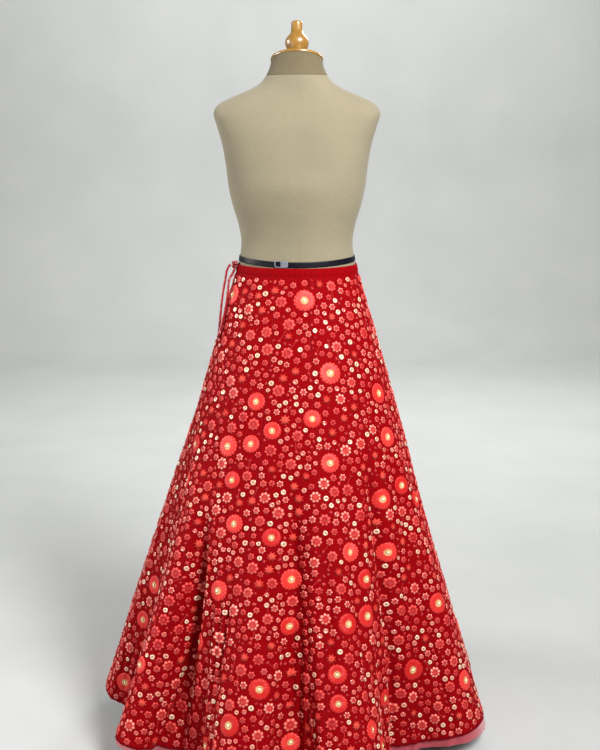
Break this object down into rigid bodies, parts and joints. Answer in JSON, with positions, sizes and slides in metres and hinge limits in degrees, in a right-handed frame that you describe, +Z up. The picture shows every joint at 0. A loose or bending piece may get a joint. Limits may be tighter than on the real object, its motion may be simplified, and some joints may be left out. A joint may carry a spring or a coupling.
{
  "type": "lehenga skirt on a limbless dress form",
  "caption": "Flared floor-length panelled skirt with deep hem folds and a side drawstring, worn by a limbless dress form on a round stand.",
  "frame": {"origin": "middle of the stand's underside, on the floor", "axes": "+Z up along the pole; -Y is the side of the garment's back, which the picture shows; -X is the side opening with the drawstring"},
  "size_m": [0.9116, 0.9152, 1.6237],
  "materials": {
    "embroidered_cloth": "deep red cloth with coral thread flowers and pale gold sequins",
    "net": "sheer red nylon net",
    "satin_cord": "satin cord",
    "form_cloth": "olive cream linen, stretched smooth",
    "oak": "turned and lacquered",
    "elastic": "glossy black woven elastic",
    "clear_plastic": "smoky clear, moulded",
    "painted_steel": "black powder coat"
  },
  "bodies": {
    "root": {"kali_01": "embroidered_cloth", "kali_02": "embroidered_cloth", "kali_03": "embroidered_cloth", "kali_04": "embroidered_cloth", "kali_05": "embroidered_cloth", "kali_06": "embroidered_cloth", "kali_07": "embroidered_cloth", "kali_08": "embroidered_cloth", "kali_09": "embroidered_cloth", "kali_10": "embroidered_cloth", "kali_11": "embroidered_cloth", "kali_12": "embroidered_cloth", "waistband": "embroidered_cloth", "net_flounce": "net", "drawstring_knot": "satin_cord", "drawstring_outer": "satin_cord", "drawstring_inner": "satin_cord", "form_torso": "form_cloth", "form_neck": "form_cloth", "neck_plate": "oak", "finial": "oak", "form_elastic": "elastic", "elastic_slider": "clear_plastic", "stand_base": "painted_steel", "stand_pole": "painted_steel", "stand_collar": "painted_steel"}
  },
  "joints": []
}
